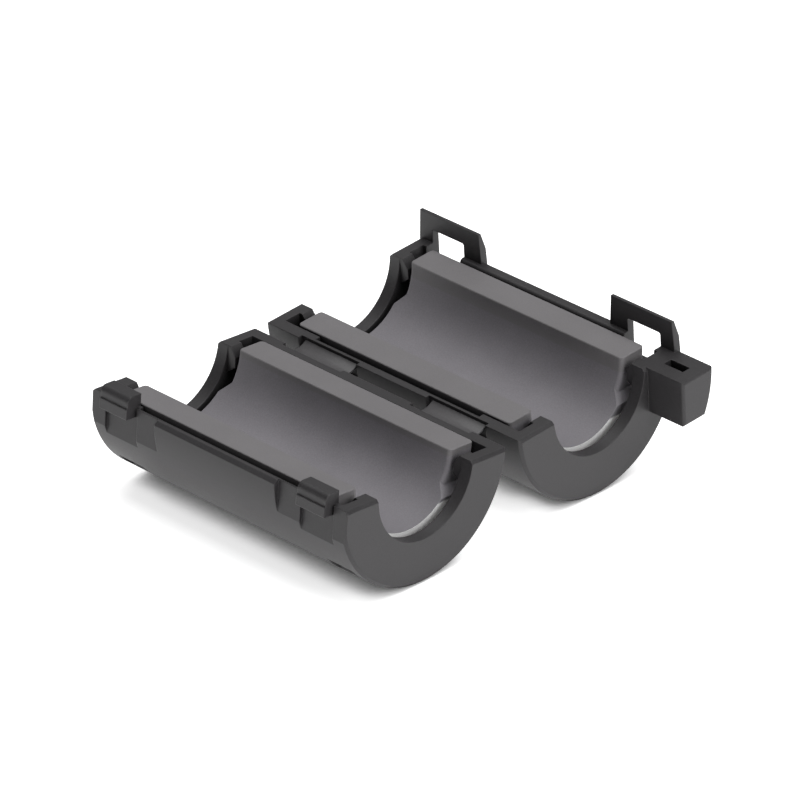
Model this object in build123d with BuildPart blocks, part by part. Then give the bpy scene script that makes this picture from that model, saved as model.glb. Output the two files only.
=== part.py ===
# Clip-on ferrite bead for a round cable, lying open on a table.
# A moulded housing of two half shells, joined by a film hinge, holds two sintered ferrite half cores.
# X runs along the cable, Y across from the hook half to the latch half, and Z is up.
# The origin is on the table, under the middle of the bead and its tie lug.
import os
from math import cos, radians, sin, sqrt

from build123d import *

# Ferrite half cores
bore_diameter = 12.5
core_wall = 3.25
core_length = 30.7
ridge_setback = 0.8      # each end of the core is shorter by this beside its mating faces
ridge_depth = 3.5        # how far down the set-back end reaches
shoulder_drop = 0.85     # height of the sloping shoulder under it
ridge_corner = 0.45
core_edge = 0.08

# Half shells
core_clearance = 0.2
shell_wall = 1.4
end_wall = 1.4
core_end_gap = 0.75
rim_drop = 0.15          # the mating faces stand this much above the rims
hole_relief = 0.1        # the holes in the end walls are wider than the bore by this, on the radius
rim_chamfer = 0.4
rim_relief = 0.3         # the pocket is wider by this beside the rims, between the hooks or loops
rim_relief_depth = 2.0
rim_round = 0.45         # round along the inner edge of a relieved rim
end_edge = 0.3

# Retaining tabs on the end walls, and the openings below them
tab_width = 1.4
tab_gap = 0.45           # from the ends of the core's ridges to the tabs
tab_height = 2.1
tab_top = 0.4
tab_lead = 1.0           # height of the slope that lets the core slip in past the tab
tab_slope = 0.8
opening_length = 3.4
opening_width = 2.0

# Snap hooks, and the recesses that take the latch loops
hook_length = 3.8
hook_shift = 0.1         # the hooks sit this much nearer the ends than the middles of the windows
hook_rise = 1.15         # how far the hook's top stands above the mating plane
hook_round = 0.7         # round over which a loop slides outwards
hook_reach = 1.05        # how far the lip stands out of the flat beside it
hook_lip = 0.15          # how far the lip stands out of the face above it
hook_lip_height = 1.1
hook_root = 0.85
catch_depth = 1.2        # from the mating plane down to the catch under the lip
flat_depth = 0.6         # the flat beside the hooks, measured in from the shell's outside
deep_flat_depth = 0.9    # the deeper flat under each hook
recess_corner = 1.2

# Latch loops
loop_clearance = 0.15
loop_thickness = 0.85
loop_tip = 0.35          # thickness left at the top of a loop
loop_end_bar = 1.85
loop_inner_bar = 2.4
loop_top_bar = 1.8
loop_draft = 0.25
loop_root = 3.2
window_clearance = 0.3
catch_clearance = 0.05
hook_headroom = 1.55     # the windows run this far down the wall past the tops of the hooks
window_corner = 0.25

# Cable-tie lug
lug_length = 4.7
lug_width = 4.3
lug_height = 4.95
lug_edge = 0.3
tie_slot_length = 2.5
tie_slot_width = 1.0
tie_slot_wall = 0.65     # wall between the end face of the shell and the slot

# Film hinge
hinge_gap = 1.7
strap_width = 7.3
strap_inset = 8.7        # from each end of the body to the middle of a strap
strap_thickness = 0.35
strap_notch = 0.5
strap_side_gap = 0.4
strap_drop = 0.3         # the straps start this far below the rims
strap_sag = 0.55
notch_depth = 2.0
mating_gap = 0.1         # between the cores when the bead is closed
open_tilt = 4.0          # degrees that each half leans in towards the hinge

# One overrun serves all cuts
overrun = 2.0

# Worked out from the sizes above
bore_radius = bore_diameter / 2
core_radius = bore_radius + core_wall
pocket_radius = core_radius + core_clearance
shell_radius = pocket_radius + shell_wall
hole_radius = bore_radius + hole_relief
core_end = core_length / 2
ridge_end = core_end - ridge_setback
pocket_end = core_end + core_end_gap
body_end = pocket_end + end_wall
hinge_arm = shell_radius + hinge_gap / 2
flat_offset = shell_radius - flat_depth
deep_flat_offset = shell_radius - deep_flat_depth
loop_face = flat_offset + loop_clearance
loop_outer = loop_face + loop_thickness
hook_tip = flat_offset + hook_reach
hook_face = hook_tip - hook_lip
window_top = catch_depth + catch_clearance + mating_gap
window_bottom = hook_rise + hook_headroom
loop_top = window_top + loop_top_bar
loop_foot = -rim_drop - loop_root
window_length = hook_length + 2 * window_clearance
loop_length = loop_end_bar + window_length + loop_inner_bar
hook_center = body_end - loop_end_bar - window_length / 2
loop_inner_end = body_end - loop_length

# The two halves lean against each other at the hinge, and both lie on the table
tilt = radians(open_tilt)
arm_across = hinge_arm * cos(tilt) + mating_gap / 2 * sin(tilt)
hook_half = Plane(
    origin=(-lug_length / 2, -arm_across, shell_radius),
    x_dir=(1, 0, 0),
    z_dir=(0, sin(tilt), cos(tilt)),
)
latch_half = Plane(
    origin=(-lug_length / 2, arm_across, shell_radius),
    x_dir=(1, 0, 0),
    z_dir=(0, -sin(tilt), cos(tilt)),
)


def section(half, along=0.0):
    """Plane across the cable: its x is the half's y, and its y is the half's z."""
    return Plane(half.from_local_coords((along, 0, 0)), x_dir=half.y_dir, z_dir=half.x_dir)


def side(half, across=0.0):
    """Plane along the cable, facing the half's -y: its x is the half's x, and its y is the half's z."""
    return Plane(half.from_local_coords((0, across, 0)), x_dir=half.x_dir, z_dir=-half.y_dir)


def plan(half, height=0.0):
    """Plane parallel to the mating faces."""
    return Plane(half.from_local_coords((0, 0, height)), x_dir=half.x_dir, z_dir=half.z_dir)


def make_core(half):
    """A half tube whose ends are stepped back beside the mating faces, above a sloping shoulder."""
    with BuildPart() as core:
        with BuildSketch(section(half, -core_end)):
            Circle(core_radius)
            Circle(bore_radius, mode=Mode.SUBTRACT)
            Rectangle(2 * core_radius, core_radius, align=(Align.CENTER, Align.MIN), mode=Mode.SUBTRACT)
        extrude(amount=core_length)
        with BuildSketch(side(half)):
            with BuildLine():
                Polyline(
                    (ridge_end, overrun),
                    (ridge_end, -ridge_depth),
                    (core_end, -ridge_depth - shoulder_drop),
                    (core_end + overrun, -ridge_depth - shoulder_drop),
                    (core_end + overrun, overrun),
                    close=True,
                )
            make_face()
            mirror(about=Plane.YZ)
        extrude(amount=core_radius, both=True, mode=Mode.SUBTRACT)
        up = Axis(half.origin, half.z_dir)
        along = Axis(half.origin, half.x_dir)
        ends = core.faces().filter_by(along).group_by(up)[-1]
        corners = [edge for edge in ends.edges() if edge.geom_type == GeomType.CIRCLE]
        fillet(corners, radius=ridge_corner)
        chamfer(core.faces().group_by(up)[-1].edges(), length=core_edge)
    return core.part


def make_shell(half, relieved):
    """A half shell with closed ends, the holes for the cable, and the tabs that hold the core in.

    The rims on the relieved sides, 1 for the half's +y and -1 for its -y, stand back from the core."""
    with BuildPart() as shell:
        with BuildSketch(section(half, -body_end)):
            Circle(shell_radius)
            with Locations((0, -rim_drop)):
                Rectangle(
                    2 * shell_radius, 2 * shell_radius, align=(Align.CENTER, Align.MIN), mode=Mode.SUBTRACT
                )
        extrude(amount=2 * body_end)
        chamfer(shell.faces().filter_by(Axis(half.origin, half.x_dir)).edges(), length=end_edge)
        with BuildSketch(section(half, -pocket_end)):
            Circle(pocket_radius)
        extrude(amount=2 * pocket_end, mode=Mode.SUBTRACT)
        with BuildSketch(section(half, -body_end)):
            Circle(hole_radius)
        extrude(amount=2 * body_end, mode=Mode.SUBTRACT)
        # Relief beside the rims with a round upper edge, so that the core drops in without catching on them
        relief_face = pocket_radius + rim_relief
        relief_end = hook_center - window_length / 2
        for turn in relieved:
            with BuildSketch(section(half, -relief_end)):
                with BuildLine():
                    top = (turn * (relief_face + rim_round), -rim_drop)
                    foot = (turn * relief_face, -rim_drop - rim_round)
                    Polyline((turn * bore_radius, -rim_drop), top)
                    RadiusArc(top, foot, -turn * rim_round)
                    Polyline(
                        foot,
                        (turn * relief_face, -rim_drop - rim_relief_depth),
                        (turn * bore_radius, -rim_drop - rim_relief_depth),
                        (turn * bore_radius, -rim_drop),
                    )
                make_face()
            extrude(amount=2 * relief_end, mode=Mode.SUBTRACT)
        tab_end = ridge_end + tab_gap
        tab_foot = -rim_drop - tab_height
        for turn in (1, -1):
            with BuildSketch(side(half, turn * (hole_radius + tab_width / 2))):
                with BuildLine():
                    Polyline(
                        (pocket_end, -rim_drop),
                        (pocket_end - tab_top, -rim_drop),
                        (tab_end, -rim_drop - tab_lead),
                        (tab_end, tab_foot),
                        (pocket_end, tab_foot - tab_slope),
                        close=True,
                    )
                make_face()
                mirror(about=Plane.YZ)
            extrude(amount=tab_width / 2, both=True)
        # Openings through the round wall, left by the mould where it formed the undersides of the tabs
        with BuildSketch(plan(half, tab_foot - tab_slope - overrun)):
            with GridLocations(2 * (pocket_end - opening_length / 2), 2 * hole_radius + tab_width, 2, 2):
                Rectangle(opening_length, opening_width)
        extrude(amount=-shell_radius, mode=Mode.SUBTRACT)
    return shell.part


def make_hook(half, turn):
    """A snap hook: a block with a round top that spreads the loop, and a lip that the loop snaps under."""
    hook_inner = flat_offset - hook_root
    with BuildPart() as hook:
        with BuildSketch(section(half, turn * (hook_center + hook_shift))):
            with BuildLine():
                round_top = (hook_round - hook_face, hook_rise)
                round_foot = (-hook_face, hook_rise - hook_round)
                RadiusArc(round_top, round_foot, -hook_round)
                Polyline(
                    round_foot,
                    (-hook_face, hook_lip_height - catch_depth),
                    (-hook_tip, hook_lip_height - catch_depth),
                    (-hook_tip, -catch_depth),
                    (-hook_inner, -catch_depth),
                    (-hook_inner, hook_rise),
                    round_top,
                )
            make_face()
        extrude(amount=hook_length / 2, both=True)
    return hook.part


def make_loop(half, turn):
    """A latch loop: a flat plate that thins and narrows to its top, on a root that runs out down the wall."""
    with BuildPart() as loop:
        with BuildSketch(section(half, -body_end)):
            with BuildLine():
                Polyline(
                    (loop_face, loop_foot),
                    (loop_outer, loop_foot + loop_thickness),
                    (loop_outer, window_top),
                    (loop_face + loop_tip, loop_top),
                    (loop_face, loop_top),
                    close=True,
                )
            make_face()
        extrude(amount=2 * body_end)
        with BuildSketch(side(half, loop_outer)):
            with BuildLine():
                Polyline(
                    (turn * loop_inner_end, loop_foot),
                    (turn * body_end, loop_foot),
                    (turn * body_end, -rim_drop),
                    (turn * (body_end - loop_draft), loop_top),
                    (turn * (loop_inner_end + loop_draft), loop_top),
                    (turn * loop_inner_end, -rim_drop),
                    close=True,
                )
            make_face()
        extrude(amount=loop_thickness, mode=Mode.INTERSECT)
    return loop.part


os.makedirs("parts", exist_ok=True)

# Ferrite half cores
for core_half, core_name in ((hook_half, "hook_half_core"), (latch_half, "latch_half_core")):
    core_part = make_core(core_half)
    core_part.label = core_name
    export_step(core_part, f"parts/{core_name}.step")

# Places of the film straps along the hinge, and the notches that they start from
strap_places = (strap_inset - body_end, body_end - strap_inset)
notch_width = strap_width + 2 * strap_side_gap
notch_face = shell_radius - strap_notch

# Hook half of the housing
hook_half_shell = make_shell(hook_half, (-1,))
hooks = [make_hook(hook_half, turn) for turn in (1, -1)]
with BuildPart() as hook_half_housing:
    add(hook_half_shell)
    # Bevel along the outer edge of the rim on the hook side
    with BuildSketch(section(hook_half, -body_end)):
        with BuildLine():
            Polyline(
                (rim_chamfer - shell_radius, -rim_drop),
                (-shell_radius, -rim_drop),
                (-shell_radius, -rim_drop - rim_chamfer),
                close=True,
            )
        make_face()
    extrude(amount=2 * body_end, mode=Mode.SUBTRACT)
    # Flats that the latch loops slide down, with a rounded lower corner at their inner end
    recess_start = loop_inner_end - recess_corner / 2
    recess_foot = sqrt(shell_radius**2 - deep_flat_offset**2)
    with BuildSketch(side(hook_half, -flat_offset)):
        with BuildLine():
            Polyline(
                (recess_start, overrun),
                (recess_start, -recess_foot),
                (body_end + overrun, -recess_foot),
                (body_end + overrun, overrun),
                close=True,
            )
        recess_face = make_face()
        fillet(recess_face.vertices().group_by(Axis.Y)[0].sort_by(Axis.X)[0], radius=recess_corner)
        mirror(about=Plane.YZ)
    extrude(amount=flat_depth + overrun, mode=Mode.SUBTRACT)
    # The deeper flat under each hook
    with BuildSketch(side(hook_half, -deep_flat_offset)):
        with Locations((hook_center, 0), (-hook_center, 0)):
            Rectangle(window_length, 2 * recess_foot)
    extrude(amount=deep_flat_depth, mode=Mode.SUBTRACT)
    add(hooks)
    # Notches in the rim where the straps start
    with BuildSketch(plan(hook_half, -rim_drop - notch_depth)):
        with Locations(*[(place, notch_face) for place in strap_places]):
            Rectangle(notch_width, overrun, align=(Align.CENTER, Align.MIN))
    extrude(amount=notch_depth + overrun, mode=Mode.SUBTRACT)
hook_half_housing.part.label = "hook_half_housing"
export_step(hook_half_housing.part, "parts/hook_half_housing.step")

# Latch half of the housing
latch_half_shell = make_shell(latch_half, (1, -1))
loops = [make_loop(latch_half, turn) for turn in (1, -1)]
with BuildPart() as latch_half_housing:
    add(latch_half_shell)
    # Cable-tie lug: its outside follows the round wall
    with BuildSketch(section(latch_half, pocket_end)):
        Circle(shell_radius)
        with Locations((shell_radius, -rim_drop)):
            Rectangle(lug_width, lug_height, align=(Align.MAX, Align.MAX), mode=Mode.INTERSECT)
    extrude(amount=end_wall + lug_length)
    along = Axis(latch_half.origin, latch_half.x_dir)
    fillet(latch_half_housing.faces().sort_by(along)[-1].edges(), radius=lug_edge)
    with BuildSketch(plan(latch_half)):
        slot_center = body_end + tie_slot_wall + tie_slot_length / 2
        with Locations((slot_center, shell_radius - lug_width / 2)):
            Rectangle(tie_slot_length, tie_slot_width)
    extrude(amount=-rim_drop - lug_height - overrun, mode=Mode.SUBTRACT)
    add(loops)
    # Windows of the loops, cut on into the wall behind them to clear the hooks and leave the loops springy
    with BuildSketch(side(latch_half, loop_outer + overrun)):
        window_height = window_top + window_bottom
        with Locations(*[(turn * hook_center, (window_top - window_bottom) / 2) for turn in (1, -1)]):
            RectangleRounded(window_length, window_height, window_corner)
    extrude(amount=loop_outer + overrun - core_radius, mode=Mode.SUBTRACT)
    # Notches in the rim where the straps end
    with BuildSketch(plan(latch_half, -rim_drop - notch_depth)):
        with Locations(*[(place, -notch_face) for place in strap_places]):
            Rectangle(notch_width, overrun, align=(Align.CENTER, Align.MAX))
    extrude(amount=notch_depth + overrun, mode=Mode.SUBTRACT)
latch_half_housing.part.label = "latch_half_housing"
export_step(latch_half_housing.part, "parts/latch_half_housing.step")

# Film straps of the hinge: thin sheets that sag between the notches of the two rims
strap_top = -rim_drop - strap_drop
strap_foot = strap_top - strap_thickness
hook_end_top = hook_half.from_local_coords((0, notch_face, strap_top))
hook_end_foot = hook_half.from_local_coords((0, notch_face, strap_foot))
middle_top = hook_end_top.Z - strap_sag
for strap_place, strap_name in zip(strap_places, ("rear_hinge_strap", "front_hinge_strap")):
    with BuildPart() as strap:
        strap_start = strap_place - lug_length / 2 - strap_width / 2
        with BuildSketch(Plane.YZ.offset(strap_start)):
            with BuildLine():
                ThreePointArc(
                    (hook_end_top.Y, hook_end_top.Z), (0, middle_top), (-hook_end_top.Y, hook_end_top.Z)
                )
                Line((-hook_end_top.Y, hook_end_top.Z), (-hook_end_foot.Y, hook_end_foot.Z))
                ThreePointArc(
                    (-hook_end_foot.Y, hook_end_foot.Z),
                    (0, middle_top - strap_thickness),
                    (hook_end_foot.Y, hook_end_foot.Z),
                )
                Line((hook_end_foot.Y, hook_end_foot.Z), (hook_end_top.Y, hook_end_top.Z))
            make_face()
        extrude(amount=strap_width)
    strap.part.label = strap_name
    export_step(strap.part, f"parts/{strap_name}.step")
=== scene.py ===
from math import cos, radians, sin

import bpy
import numpy as np
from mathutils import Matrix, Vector


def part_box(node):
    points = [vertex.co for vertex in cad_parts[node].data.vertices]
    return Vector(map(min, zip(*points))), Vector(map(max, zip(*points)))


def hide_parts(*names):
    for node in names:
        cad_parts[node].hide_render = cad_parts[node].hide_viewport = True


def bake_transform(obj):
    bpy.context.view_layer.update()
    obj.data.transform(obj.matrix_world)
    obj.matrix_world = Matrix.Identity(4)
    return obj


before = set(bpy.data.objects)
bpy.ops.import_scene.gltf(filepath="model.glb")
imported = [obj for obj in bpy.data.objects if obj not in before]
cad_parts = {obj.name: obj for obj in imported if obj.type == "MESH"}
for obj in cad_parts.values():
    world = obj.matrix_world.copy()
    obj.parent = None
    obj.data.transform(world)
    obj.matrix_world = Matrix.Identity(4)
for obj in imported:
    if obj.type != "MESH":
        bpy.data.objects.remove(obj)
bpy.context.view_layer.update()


# Housing
# One charcoal nylon moulding: a hook half and a latch half, shot flat and open in one tool.
# Its edges leave the mould with a small radius, and its faces with a fine spark-eroded grain.
housing_nodes = ("hook_half_housing", "latch_half_housing")
nylon_tones = ((0.027, 0.0256, 0.027), (0.041, 0.0391, 0.041))
nylon_roughness = (0.40, 0.54)
nylon_ior = 1.5
nylon_gloss = 0.30
nylon_drift_per_metre = 110.0
nylon_grain_per_metre = 5200.0
nylon_grain_share = 0.5
nylon_edge_radius = 0.00014
# Gain of the lighter edge tone, which is part wear and part painted highlight.
nylon_edge_gain = 1.6
nylon_slot_reach = 0.0022
nylon_bump_strength = 0.3
nylon_bump_height = 0.00002


def new_node(tree, kind, operation=None, **values):
    """A node of one kind in a tree, with its operation and the values of its named inputs."""
    node = tree.nodes.new("ShaderNode" + kind)
    if operation:
        node.operation = operation
    for name, value in values.items():
        node.inputs[name.replace("_", " ")].default_value = value
    return node


def new_group(name, inputs, outputs):
    """An empty shader node group with named inputs and outputs, and its two end nodes."""
    group = bpy.data.node_groups.new(name, "ShaderNodeTree")
    for socket_name, value in inputs:
        socket = group.interface.new_socket(
            socket_name, in_out="INPUT", socket_type="NodeSocketFloat"
        )
        socket.default_value = value
    for socket_name, kind in outputs:
        group.interface.new_socket(socket_name, in_out="OUTPUT", socket_type=kind)
    return group, group.nodes.new("NodeGroupInput"), group.nodes.new("NodeGroupOutput")


def make_fine_grain():
    """Fine grain: two layers of noise on Object coordinates, a coarse one that drifts over
    millimetres and a fine one at grain size. Tone is their weighted mean, and Height is the
    fine layer with a little of the drift."""
    group, start, end = new_group(
        "fine_grain",
        (("Drift per metre", 120.0), ("Grain per metre", 5000.0), ("Grain share", 0.4)),
        (("Tone", "NodeSocketFloat"), ("Height", "NodeSocketFloat")),
    )
    links = group.links
    place = new_node(group, "TexCoord")
    drift = new_node(group, "TexNoise", Detail=3.0)
    grain = new_node(group, "TexNoise", Detail=2.0, Roughness=0.6)
    tone = new_node(group, "Mix")
    height = new_node(group, "Mix", Factor=0.8)
    links.new(place.outputs["Object"], drift.inputs["Vector"])
    links.new(place.outputs["Object"], grain.inputs["Vector"])
    links.new(start.outputs["Drift per metre"], drift.inputs["Scale"])
    links.new(start.outputs["Grain per metre"], grain.inputs["Scale"])
    links.new(start.outputs["Grain share"], tone.inputs["Factor"])
    for mix in (tone, height):
        links.new(drift.outputs["Fac"], mix.inputs["A"])
        links.new(grain.outputs["Fac"], mix.inputs["B"])
    links.new(tone.outputs["Result"], end.inputs["Tone"])
    links.new(height.outputs["Result"], end.inputs["Height"])
    return group


def make_soft_edge():
    """Soft edge: Normal is rolled round every edge over the given radius, and Edge mask rises from
    0 on the faces to 1 along the edges, as the rolled normal leans away from the face's own."""
    group, start, end = new_group(
        "soft_edge",
        (("Radius", 0.0001),),
        (("Normal", "NodeSocketVector"), ("Edge mask", "NodeSocketFloat")),
    )
    links = group.links
    rolled = new_node(group, "Bevel")
    rolled.samples = 8
    face = new_node(group, "NewGeometry")
    likeness = new_node(group, "VectorMath", "DOT_PRODUCT")
    edge_mask = new_node(group, "MapRange", From_Min=0.99, From_Max=0.75)
    links.new(start.outputs["Radius"], rolled.inputs["Radius"])
    links.new(rolled.outputs["Normal"], likeness.inputs[0])
    links.new(face.outputs["Normal"], likeness.inputs[1])
    links.new(likeness.outputs["Value"], edge_mask.inputs["Value"])
    links.new(rolled.outputs["Normal"], end.inputs["Normal"])
    links.new(edge_mask.outputs["Result"], end.inputs["Edge mask"])
    return group


def make_deep_shade():
    """Deep shade: Open is 1 on free faces and falls towards 0 in slots and crevices, where
    walls stand closer than the given reach, with a floor that keeps a trace of light there."""
    group, start, end = new_group(
        "deep_shade", (("Reach", 0.0012),), (("Open", "NodeSocketFloat"),)
    )
    links = group.links
    sky = new_node(group, "AmbientOcclusion")
    sky.samples = 6
    sky.only_local = False
    opening = new_node(group, "MapRange", From_Min=0.22, From_Max=0.56, To_Min=0.08)
    links.new(start.outputs["Reach"], sky.inputs["Distance"])
    links.new(sky.outputs["AO"], opening.inputs["Value"])
    links.new(opening.outputs["Result"], end.inputs["Open"])
    return group


fine_grain = make_fine_grain()
soft_edge = make_soft_edge()
deep_shade = make_deep_shade()


def place_group(material, group, **values):
    """A node group in a material, with this material's own values on its inputs."""
    node = new_node(material.node_tree, "Group")
    node.node_tree = group
    for name, value in values.items():
        node.inputs[name.replace("_", " ")].default_value = value
    return node


def new_ramp(material, tones):
    """A colour ramp over the middle of the grain's range, between a low and a high tone."""
    ramp = new_node(material.node_tree, "ValToRGB")
    for element, place, tone in zip(ramp.color_ramp.elements, (0.3, 0.7), tones):
        element.position = place
        element.color = (*tone, 1)
    return ramp


def new_grey_ramp(material, levels):
    """The same ramp between two grey levels, for values such as roughness."""
    return new_ramp(material, [(level,) * 3 for level in levels])


def new_mix(material, factor, first, second):
    """A colour mix of two outputs by a third; returns its colour output."""
    mix = new_node(material.node_tree, "Mix")
    mix.data_type = "RGBA"
    mix.clamp_factor = True
    links = material.node_tree.links
    links.new(factor, mix.inputs["Factor"])
    links.new(first, mix.inputs[6])
    links.new(second, mix.inputs[7])
    return mix.outputs[2]


def shade_slots(material, tone, roughness, reach):
    """Makes a tone darker and a finish fully dull in slots and crevices, where little light
    gets in; returns the outputs of both."""
    tree = material.node_tree
    shade = place_group(material, deep_shade, Reach=reach)
    dark = new_node(tree, "VectorMath", "SCALE")
    dull = new_node(tree, "Mix", A=1.0)
    tree.links.new(tone, dark.inputs[0])
    tree.links.new(shade.outputs["Open"], dark.inputs["Scale"])
    tree.links.new(shade.outputs["Open"], dull.inputs["Factor"])
    tree.links.new(roughness, dull.inputs["B"])
    return dark.outputs["Vector"], dull.outputs["Result"]


def make_moulded_nylon(name, tones, roughness):
    """Charcoal nylon: the grain moves its tone a little and its gloss more, raises a fine
    bump, and leaves the edges lighter than the faces, partly as wear and partly as a painted
    highlight."""
    material = bpy.data.materials.new(name)
    material.use_nodes = True
    tree = material.node_tree
    links = tree.links
    shader = tree.nodes["Principled BSDF"]
    shader.inputs["IOR"].default_value = nylon_ior
    shader.inputs["Specular IOR Level"].default_value = nylon_gloss
    grain = place_group(
        material,
        fine_grain,
        Drift_per_metre=nylon_drift_per_metre,
        Grain_per_metre=nylon_grain_per_metre,
        Grain_share=nylon_grain_share,
    )
    edge = place_group(material, soft_edge, Radius=nylon_edge_radius)
    colour = new_ramp(material, tones)
    # Lighter edge tone: part wear, part painted highlight along the edges.
    worn_and_highlit = new_ramp(material, nylon_edge_gain * np.array(tones))
    finish = new_grey_ramp(material, roughness)
    bump = new_node(tree, "Bump", Strength=nylon_bump_strength, Distance=nylon_bump_height)
    for ramp in (colour, worn_and_highlit, finish):
        links.new(grain.outputs["Tone"], ramp.inputs["Fac"])
    tone = new_mix(material, edge.outputs["Edge mask"], colour.outputs["Color"], worn_and_highlit.outputs["Color"])
    tone, dulled = shade_slots(material, tone, finish.outputs["Color"], nylon_slot_reach)
    links.new(tone, shader.inputs["Base Color"])
    links.new(dulled, shader.inputs["Roughness"])
    links.new(grain.outputs["Height"], bump.inputs["Height"])
    links.new(edge.outputs["Normal"], bump.inputs["Normal"])
    links.new(bump.outputs["Normal"], shader.inputs["Normal"])
    return material


moulded_nylon = make_moulded_nylon("moulded_charcoal_nylon", nylon_tones, nylon_roughness)
for node_name in housing_nodes:
    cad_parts[node_name].material_slots[0].material = moulded_nylon


# Film hinge
# Two thin straps of the same nylon, moulded in one with both halves, which bend as it folds.
# Each sags between the rims, is thinnest along its middle, and thickens into the moulding.
strap_names = ("rear_hinge_strap", "front_hinge_strap")
strap_thickness = 0.00035
strap_root = 0.00012
strap_waist_share = 0.78
strap_steps_along = 40
strap_steps_round = 12
film_tones = ((0.066, 0.064, 0.066), (0.092, 0.089, 0.092))
film_roughness = (0.30, 0.42)


def film_strap(low, high):
    """Rounded flat section carried along a sagging arc. Along t in -1..1 from rim to rim the
    middle line is y = t * half span and z = foot + rise * t squared. The section at each t is
    a rectangle of the strap's width and thickness whose short sides are half circles, and its
    thickness falls to the waist share at t = 0."""
    half_width = (high.x - low.x) / 2
    half_span = (high.y - low.y) / 2 + strap_root
    rise = high.z - low.z - strap_thickness
    t = np.linspace(-1, 1, strap_steps_along + 1)[:, None]
    across = (low.y + high.y) / 2 + t * half_span
    height = low.z + strap_thickness / 2 + rise * t**2
    slope = 2 * rise * t / half_span
    turn = 1 / np.sqrt(1 + slope**2)
    half_thickness = strap_thickness / 2 * (strap_waist_share + (1 - strap_waist_share) * t**2)
    angle = np.linspace(0, np.pi, strap_steps_round // 2 + 1)
    side = np.repeat((1, -1), angle.size)
    out = np.tile(np.sin(angle), 2) * side
    up = np.tile(np.cos(angle), 2) * side * half_thickness
    middle = (low.x + high.x) / 2
    along = middle + side * (half_width - half_thickness) + out * half_thickness
    return np.stack((along, across - slope * turn * up, height + turn * up), axis=-1)


def close_tube(name, points):
    """Mesh of a grid whose second index runs round a closed section, with flat end caps."""
    rows, columns = points.shape[:2]
    index = np.arange(rows * columns).reshape(rows, columns)
    ahead = np.roll(index, -1, axis=1)
    sides = np.stack((index[:-1], index[1:], ahead[1:], ahead[:-1]), axis=-1).reshape(-1, 4)
    caps = [index[0].tolist(), index[-1][::-1].tolist()]
    mesh = bpy.data.meshes.new(name)
    mesh.from_pydata(points.reshape(-1, 3).tolist(), [], sides.tolist() + caps)
    mesh.polygons.foreach_set("use_smooth", [True] * len(sides) + [False] * len(caps))
    mesh.update()
    piece = bpy.data.objects.new(name, mesh)
    bpy.context.scene.collection.objects.link(piece)
    return piece


flexed_film = make_moulded_nylon("flexed_nylon_film", film_tones, film_roughness)
for node_name in strap_names:
    low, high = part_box(node_name)
    strap = close_tube(node_name.replace("strap", "film"), film_strap(low, high))
    strap.data.materials.append(flexed_film)
    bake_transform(strap)
    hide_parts(node_name)


# Ferrite half cores
# Pressed and sintered grey ceramic, dropped into each shell and held by its end walls' tabs.
# The mating faces are ground flat; the bore and the ends keep the skin of the press and kiln.
core_nodes = ("hook_half_core", "latch_half_core")
skin_tones = ((0.152, 0.145, 0.157), (0.206, 0.197, 0.212))
ground_tones = ((0.146, 0.140, 0.144), (0.184, 0.177, 0.182))
chipped_tones = ((0.180, 0.175, 0.178), (0.220, 0.215, 0.218))
# Near-white painted highlight on the lit ends below the ridges.
painted_end_highlight_tones = ((0.70, 0.695, 0.69), (0.92, 0.915, 0.91))
ferrite_roughness = (0.50, 0.66)
ferrite_ior = 1.5
ferrite_gloss = 0.30
ferrite_drift_per_metre = 160.0
ferrite_grain_per_metre = 7500.0
ferrite_grain_share = 0.6
ferrite_edge_radius = 0.00008
ferrite_slot_reach = 0.0010
ferrite_bump_strength = 0.4
ferrite_bump_height = 0.00002
mating_face_height = 0.0100
ridge_foot_height = 0.0061
height_blur = 0.0001


def new_height_mask(material, height):
    """A mask that rises from 0 to 1 where its value passes the given height."""
    return new_node(
        material.node_tree, "MapRange", From_Min=height - height_blur, From_Max=height + height_blur
    )


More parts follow.
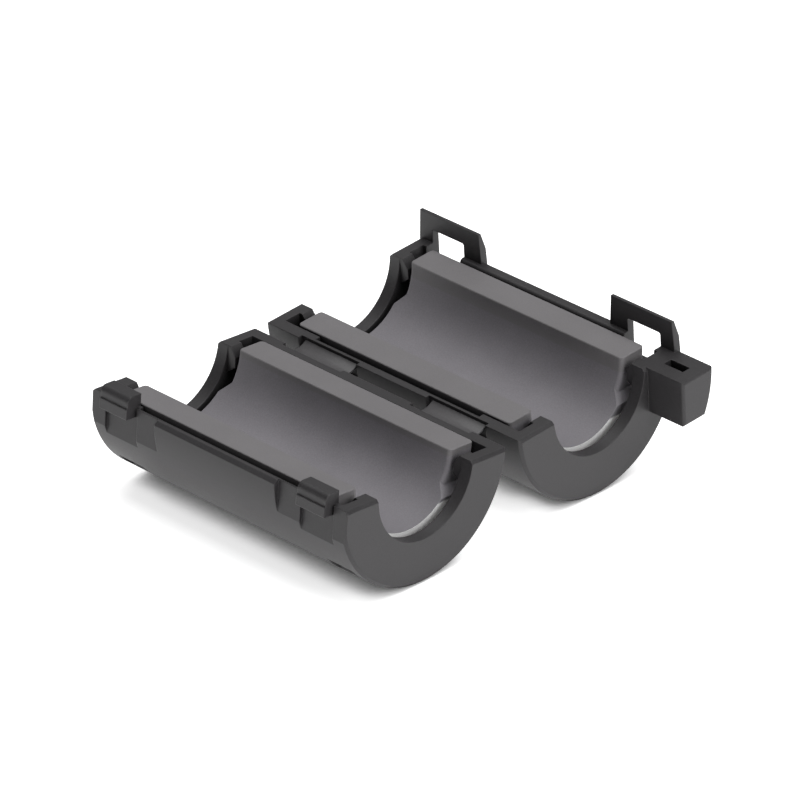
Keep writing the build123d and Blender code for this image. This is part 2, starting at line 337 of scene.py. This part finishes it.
def make_sintered_ferrite():
    """Grey ceramic: grain speckle everywhere, a ground tone on the mating faces, found by
    height, paler edges where the grinding has chipped them, and a near-white painted highlight
    on the ends below the ridges, found by height and by the normal's share along the cable."""
    material = bpy.data.materials.new("sintered_ferrite")
    material.use_nodes = True
    tree = material.node_tree
    links = tree.links
    shader = tree.nodes["Principled BSDF"]
    shader.inputs["IOR"].default_value = ferrite_ior
    shader.inputs["Specular IOR Level"].default_value = ferrite_gloss
    grain = place_group(
        material,
        fine_grain,
        Drift_per_metre=ferrite_drift_per_metre,
        Grain_per_metre=ferrite_grain_per_metre,
        Grain_share=ferrite_grain_share,
    )
    edge = place_group(material, soft_edge, Radius=ferrite_edge_radius)
    skin = new_ramp(material, skin_tones)
    ground = new_ramp(material, ground_tones)
    chipped = new_ramp(material, chipped_tones)
    painted_end_highlight = new_ramp(material, painted_end_highlight_tones)
    finish = new_grey_ramp(material, ferrite_roughness)
    place = new_node(tree, "TexCoord")
    split_place = new_node(tree, "SeparateXYZ")
    split_normal = new_node(tree, "SeparateXYZ")
    mating_face = new_height_mask(material, mating_face_height)
    ridge = new_height_mask(material, ridge_foot_height)
    end_share = new_node(tree, "Math", "ABSOLUTE")
    end_face = new_node(tree, "MapRange", From_Min=0.3, From_Max=0.6)
    low_end = new_node(tree, "Math", "SUBTRACT")
    low_end.use_clamp = True
    bump = new_node(tree, "Bump", Strength=ferrite_bump_strength, Distance=ferrite_bump_height)
    links.new(place.outputs["Object"], split_place.inputs["Vector"])
    links.new(place.outputs["Normal"], split_normal.inputs["Vector"])
    links.new(split_place.outputs["Z"], mating_face.inputs["Value"])
    links.new(split_place.outputs["Z"], ridge.inputs["Value"])
    links.new(split_normal.outputs["X"], end_share.inputs[0])
    links.new(end_share.outputs["Value"], end_face.inputs["Value"])
    links.new(end_face.outputs["Result"], low_end.inputs[0])
    links.new(ridge.outputs["Result"], low_end.inputs[1])
    for ramp in (skin, ground, chipped, painted_end_highlight, finish):
        links.new(grain.outputs["Tone"], ramp.inputs["Fac"])
    tone = new_mix(
        material, mating_face.outputs["Result"], skin.outputs["Color"], ground.outputs["Color"]
    )
    tone = new_mix(material, edge.outputs["Edge mask"], tone, chipped.outputs["Color"])
    tone, dulled = shade_slots(material, tone, finish.outputs["Color"], ferrite_slot_reach)
    # Painted highlight on the ends below the ridges, laid over the painted slot shade.
    tone = new_mix(material, low_end.outputs["Value"], tone, painted_end_highlight.outputs["Color"])
    links.new(tone, shader.inputs["Base Color"])
    links.new(dulled, shader.inputs["Roughness"])
    links.new(grain.outputs["Height"], bump.inputs["Height"])
    links.new(edge.outputs["Normal"], bump.inputs["Normal"])
    links.new(bump.outputs["Normal"], shader.inputs["Normal"])
    return material


sintered_ferrite = make_sintered_ferrite()
for node_name in core_nodes:
    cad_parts[node_name].material_slots[0].material = sintered_ferrite


# Table and studio light
# A white opal table, lit from below so that shadows stay short, under a wide softbox that hangs
# nearly overhead. A small softbox stands past the lug end, and a dim panel behind the bead.
table_size = 6.0
table_glow = 0.74
table_tones = ((0.90, 0.90, 0.90), (0.94, 0.94, 0.94))
table_roughness = 0.9
table_gloss = 0.1
# Reach of the painted contact shadow on the table.
painted_shadow_reach = 0.0029
studio_fill = 0.06


def make_table():
    """A flat square in the plane z = 0."""
    corner = np.array(((-1, -1, 0), (1, -1, 0), (1, 1, 0), (-1, 1, 0))) * table_size / 2
    mesh = bpy.data.meshes.new("table")
    mesh.from_pydata(corner.tolist(), [], [(0, 1, 2, 3)])
    table = bpy.data.objects.new("table", mesh)
    bpy.context.scene.collection.objects.link(table)
    material = bpy.data.materials.new("white_opal_table")
    material.use_nodes = True
    links = material.node_tree.links
    shader = material.node_tree.nodes["Principled BSDF"]
    shader.inputs["Roughness"].default_value = table_roughness
    shader.inputs["Specular IOR Level"].default_value = table_gloss
    shader.inputs["Emission Strength"].default_value = table_glow
    grain = place_group(
        material, fine_grain, Drift_per_metre=4.0, Grain_per_metre=900.0, Grain_share=0.3
    )
    opal = new_ramp(material, table_tones)
    # Painted contact shadow: the table's glow is dimmed where the bead stands close above it.
    painted_contact_shadow = place_group(material, deep_shade, Reach=painted_shadow_reach)
    links.new(grain.outputs["Tone"], opal.inputs["Fac"])
    links.new(opal.outputs["Color"], shader.inputs["Base Color"])
    links.new(painted_contact_shadow.outputs["Open"], shader.inputs["Emission Color"])
    mesh.materials.append(material)
    return table


def add_softbox(name, place, aim, width, height, power):
    """A rectangular area light at place, turned towards aim."""
    light = bpy.data.lights.new(name, "AREA")
    light.shape = "RECTANGLE"
    light.size = width
    light.size_y = height
    light.energy = power
    lamp = bpy.data.objects.new(name, light)
    bpy.context.scene.collection.objects.link(lamp)
    lamp.location = place
    lamp.rotation_euler = (Vector(aim) - Vector(place)).to_track_quat("-Z", "Y").to_euler()


make_table()
add_softbox(
    "overhead_softbox",
    place=(-0.02, 0.06, 0.75),
    aim=(-0.02, 0, 0),
    width=1.00,
    height=0.60,
    power=6.0,
)
add_softbox(
    "lug_end_softbox",
    place=(0.60, 0.05, 0.35),
    aim=(0, 0, 0.01),
    width=0.40,
    height=0.40,
    power=2.2,
)
add_softbox(
    "back_panel",
    place=(-0.75, 0.75, 0.50),
    aim=(0, 0, 0.01),
    width=1.20,
    height=0.80,
    power=1.0,
)

world = bpy.data.worlds.new("dim_studio")
bpy.context.scene.world = world
world.use_nodes = True
sky = world.node_tree.nodes["Background"]
sky.inputs["Color"].default_value = (1, 1, 1, 1)
sky.inputs["Strength"].default_value = studio_fill
bpy.context.scene.view_settings.view_transform = "Standard"


# Camera
# A long lens above the near corner, looking down across both troughs from the hook side.
# It stands well back, so that the far loops are drawn hardly smaller than the near hooks.
view_turn = radians(44.86)
view_rise = radians(28.53)
view_distance = 0.700
view_target = Vector((-0.00022, 0.0, 0.0092))
focal_share = 9.00085
sensor_width = 36.0
nearest_drawn = 0.01
farthest_drawn = 20.0
camera_data = bpy.data.cameras.new("product_camera")
camera_data.sensor_width = sensor_width
camera_data.lens = focal_share * sensor_width
camera_data.clip_start = nearest_drawn
camera_data.clip_end = farthest_drawn
camera = bpy.data.objects.new("product_camera", camera_data)
bpy.context.scene.collection.objects.link(camera)
look_from = Vector(
    (sin(view_turn) * cos(view_rise), -cos(view_turn) * cos(view_rise), sin(view_rise))
)
camera.location = view_target + view_distance * look_from
camera.rotation_euler = (-look_from).to_track_quat("-Z", "Y").to_euler()
bpy.context.scene.camera = camera
